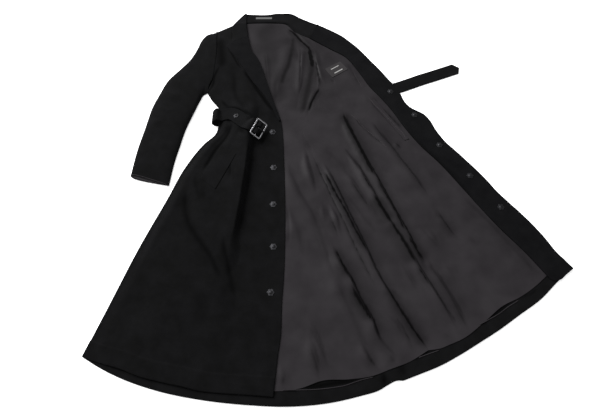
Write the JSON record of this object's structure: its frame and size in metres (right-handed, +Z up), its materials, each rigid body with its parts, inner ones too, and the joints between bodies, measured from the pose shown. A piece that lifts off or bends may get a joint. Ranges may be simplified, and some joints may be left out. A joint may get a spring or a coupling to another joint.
{
  "type": "chesterfield coat",
  "caption": "Long flared single-breasted black wool coat with notched lapels and a buckled belt, laid on its back with one front opened over its lining.",
  "frame": {"origin": "on the floor, below the middle of the box round the laid coat", "axes": "+X from the sleeve's side towards the opened left front, +Y from the hem towards the collar, +Z up from the floor"},
  "size_m": [1.27, 1.3187, 0.0434],
  "materials": {
    "black_wool": "milled wool coating with a short brushed nap",
    "black_wool_facing": "the same wool coating, as facing and lapel",
    "charcoal_lining": "smooth charcoal satin lining with a soft sheen",
    "gunmetal": "dark gunmetal plating, satin",
    "pale_tape": "plain pale woven tape",
    "black_tape": "plain black woven label"
  },
  "bodies": {
    "root": {"back": "black_wool", "left_front": "black_wool", "right_front": "black_wool", "left_sleeve": "black_wool", "right_sleeve": "black_wool", "collar": "black_wool", "collar_leaf": "black_wool", "belt": "black_wool", "pocket_flap": "black_wool", "left_facing": "black_wool_facing", "left_lapel": "black_wool_facing", "right_lapel": "black_wool_facing", "back_lining": "charcoal_lining", "left_front_lining": "charcoal_lining", "inner_pocket_welt": "charcoal_lining", "buckle_frame": "gunmetal", "belt_stud": "gunmetal", "front_stud_1": "gunmetal", "front_stud_2": "gunmetal", "front_stud_3": "gunmetal", "front_stud_4": "gunmetal", "front_stud_5": "gunmetal", "facing_stud_1": "gunmetal", "facing_stud_2": "gunmetal", "facing_stud_3": "gunmetal", "facing_stud_4": "gunmetal", "facing_stud_5": "gunmetal", "neck_label": "pale_tape", "inner_label": "black_tape"},
    "prong": {"buckle_prong": "gunmetal"}
  },
  "joints": [
    {"name": "prong_hinge", "type": "hinge", "parent": "root", "child": "prong", "pos_m": [-0.226, 0.1215, 0.0315], "axis": [-0.4061, -0.9138, 0], "range_deg": [0, 100]}
  ]
}
